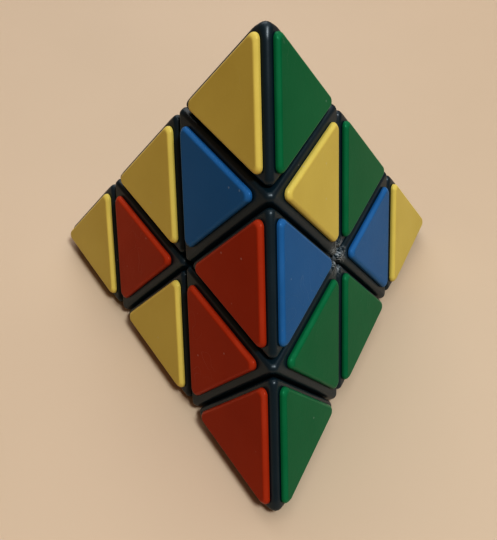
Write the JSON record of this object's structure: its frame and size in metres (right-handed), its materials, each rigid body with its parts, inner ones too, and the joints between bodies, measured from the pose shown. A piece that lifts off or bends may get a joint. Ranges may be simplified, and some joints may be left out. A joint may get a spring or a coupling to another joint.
{
  "type": "pyramid twisty puzzle",
  "caption": "Three-layer tetrahedral twisty puzzle with raised bevelled colour tiles on black pieces that turn about the corner axes, stored scrambled.",
  "frame": {"origin": "the middle of the core, where the four turning axes meet", "axes": "+Z to the top corner, -Y towards the front corner, the face opposite the top corner is the one it stands on"},
  "size_m": [0.1004, 0.0882, 0.0836],
  "materials": {
    "black_plastic": "satin",
    "tile_yellow": "satin",
    "tile_green": "satin",
    "tile_blue": "satin",
    "tile_red": "satin",
    "core_plastic": "moulded",
    "screw_steel": "zinc plated",
    "spring_steel": "drawn wire"
  },
  "bodies": {
    "core": {"core_spider": "core_plastic", "screw_top": "screw_steel", "spring_top": "spring_steel", "screw_front": "screw_steel", "spring_front": "spring_steel", "screw_left": "screw_steel", "spring_left": "spring_steel", "screw_right": "screw_steel", "spring_right": "spring_steel"},
    "axial_top": {"axial_top": "black_plastic", "tile_axial_top_back_face": "tile_green", "tile_axial_top_right_face": "tile_yellow", "tile_axial_top_left_face": "tile_blue"},
    "tip_top": {"tip_top": "black_plastic", "tile_tip_top_back_face": "tile_blue", "tile_tip_top_right_face": "tile_green", "tile_tip_top_left_face": "tile_yellow"},
    "axial_front": {"axial_front": "black_plastic", "tile_axial_front_bottom_face": "tile_blue", "tile_axial_front_right_face": "tile_green", "tile_axial_front_left_face": "tile_red"},
    "tip_front": {"tip_front": "black_plastic", "tile_tip_front_bottom_face": "tile_blue", "tile_tip_front_right_face": "tile_green", "tile_tip_front_left_face": "tile_red"},
    "axial_left": {"axial_left": "black_plastic", "tile_axial_left_bottom_face": "tile_yellow", "tile_axial_left_back_face": "tile_green", "tile_axial_left_left_face": "tile_red"},
    "tip_left": {"tip_left": "black_plastic", "tile_tip_left_bottom_face": "tile_green", "tile_tip_left_back_face": "tile_red", "tile_tip_left_left_face": "tile_yellow"},
    "axial_right": {"axial_right": "black_plastic", "tile_axial_right_bottom_face": "tile_red", "tile_axial_right_back_face": "tile_yellow", "tile_axial_right_right_face": "tile_blue"},
    "tip_right": {"tip_right": "black_plastic", "tile_tip_right_bottom_face": "tile_blue", "tile_tip_right_back_face": "tile_red", "tile_tip_right_right_face": "tile_yellow"},
    "edge_top_front": {"edge_top_front": "black_plastic", "tile_edge_top_front_right_face": "tile_blue", "tile_edge_top_front_left_face": "tile_red"},
    "edge_top_left": {"edge_top_left": "black_plastic", "tile_edge_top_left_back_face": "tile_green", "tile_edge_top_left_left_face": "tile_yellow"},
    "edge_top_right": {"edge_top_right": "black_plastic", "tile_edge_top_right_back_face": "tile_blue", "tile_edge_top_right_right_face": "tile_green"},
    "edge_front_left": {"edge_front_left": "black_plastic", "tile_edge_front_left_bottom_face": "tile_red", "tile_edge_front_left_left_face": "tile_yellow"},
    "edge_front_right": {"edge_front_right": "black_plastic", "tile_edge_front_right_bottom_face": "tile_red", "tile_edge_front_right_right_face": "tile_green"},
    "edge_left_right": {"edge_left_right": "black_plastic", "tile_edge_left_right_bottom_face": "tile_yellow", "tile_edge_left_right_back_face": "tile_blue"}
  },
  "joints": [
    {"name": "layer_top_turn", "type": "hinge", "parent": "core", "child": "axial_top", "pos_m": [0, 0, 0], "axis": [0, 0, 1], "range_deg": [-240, 120]},
    {"name": "layer_front_turn", "type": "hinge", "parent": "core", "child": "axial_front", "pos_m": [0, 0, 0], "axis": [0, -0.9428, -0.3333], "range_deg": [-240, 120]},
    {"name": "layer_left_turn", "type": "hinge", "parent": "core", "child": "axial_left", "pos_m": [0, 0, 0], "axis": [-0.8165, 0.4714, -0.3333], "range_deg": [-240, 120]},
    {"name": "layer_right_turn", "type": "hinge", "parent": "core", "child": "axial_right", "pos_m": [0, 0, 0], "axis": [0.8165, 0.4714, -0.3333], "range_deg": [-240, 120]},
    {"name": "tip_top_spin", "type": "hinge", "parent": "axial_top", "child": "tip_top", "pos_m": [0, 0, 0], "axis": [0, 0, 1], "continuous": true},
    {"name": "tip_front_spin", "type": "hinge", "parent": "axial_front", "child": "tip_front", "pos_m": [0, 0, 0], "axis": [0, -0.9428, -0.3333], "continuous": true},
    {"name": "tip_left_spin", "type": "hinge", "parent": "axial_left", "child": "tip_left", "pos_m": [0, 0, 0], "axis": [-0.8165, 0.4714, -0.3333], "continuous": true},
    {"name": "tip_right_spin", "type": "hinge", "parent": "axial_right", "child": "tip_right", "pos_m": [0, 0, 0], "axis": [0.8165, 0.4714, -0.3333], "continuous": true},
    {"name": "edge_top_front_turn", "type": "hinge", "parent": "axial_top", "child": "edge_top_front", "pos_m": [0, 0, 0], "axis": [0, -0.9428, -0.3333], "range_deg": [-240, 120]},
    {"name": "edge_top_left_turn", "type": "hinge", "parent": "axial_top", "child": "edge_top_left", "pos_m": [0, 0, 0], "axis": [-0.8165, 0.4714, -0.3333], "range_deg": [-240, 120]},
    {"name": "edge_top_right_turn", "type": "hinge", "parent": "axial_top", "child": "edge_top_right", "pos_m": [0, 0, 0], "axis": [0.8165, 0.4714, -0.3333], "range_deg": [-240, 120]},
    {"name": "edge_front_left_turn", "type": "hinge", "parent": "axial_left", "child": "edge_front_left", "pos_m": [0, 0, 0], "axis": [0, -0.9428, -0.3333], "range_deg": [-240, 120]},
    {"name": "edge_left_right_turn", "type": "hinge", "parent": "axial_right", "child": "edge_left_right", "pos_m": [0, 0, 0], "axis": [-0.8165, 0.4714, -0.3333], "range_deg": [-240, 120]},
    {"name": "edge_front_right_turn", "type": "hinge", "parent": "axial_front", "child": "edge_front_right", "pos_m": [0, 0, 0], "axis": [0.8165, 0.4714, -0.3333], "range_deg": [-240, 120]}
  ],
  "couplings": [
    {"joint": "edge_top_front_turn", "follows": "layer_front_turn", "ratio": 1},
    {"joint": "edge_top_left_turn", "follows": "layer_left_turn", "ratio": 1},
    {"joint": "edge_top_right_turn", "follows": "layer_right_turn", "ratio": 1},
    {"joint": "edge_front_left_turn", "follows": "layer_front_turn", "ratio": 1},
    {"joint": "edge_left_right_turn", "follows": "layer_left_turn", "ratio": 1},
    {"joint": "edge_front_right_turn", "follows": "layer_right_turn", "ratio": 1}
  ]
}
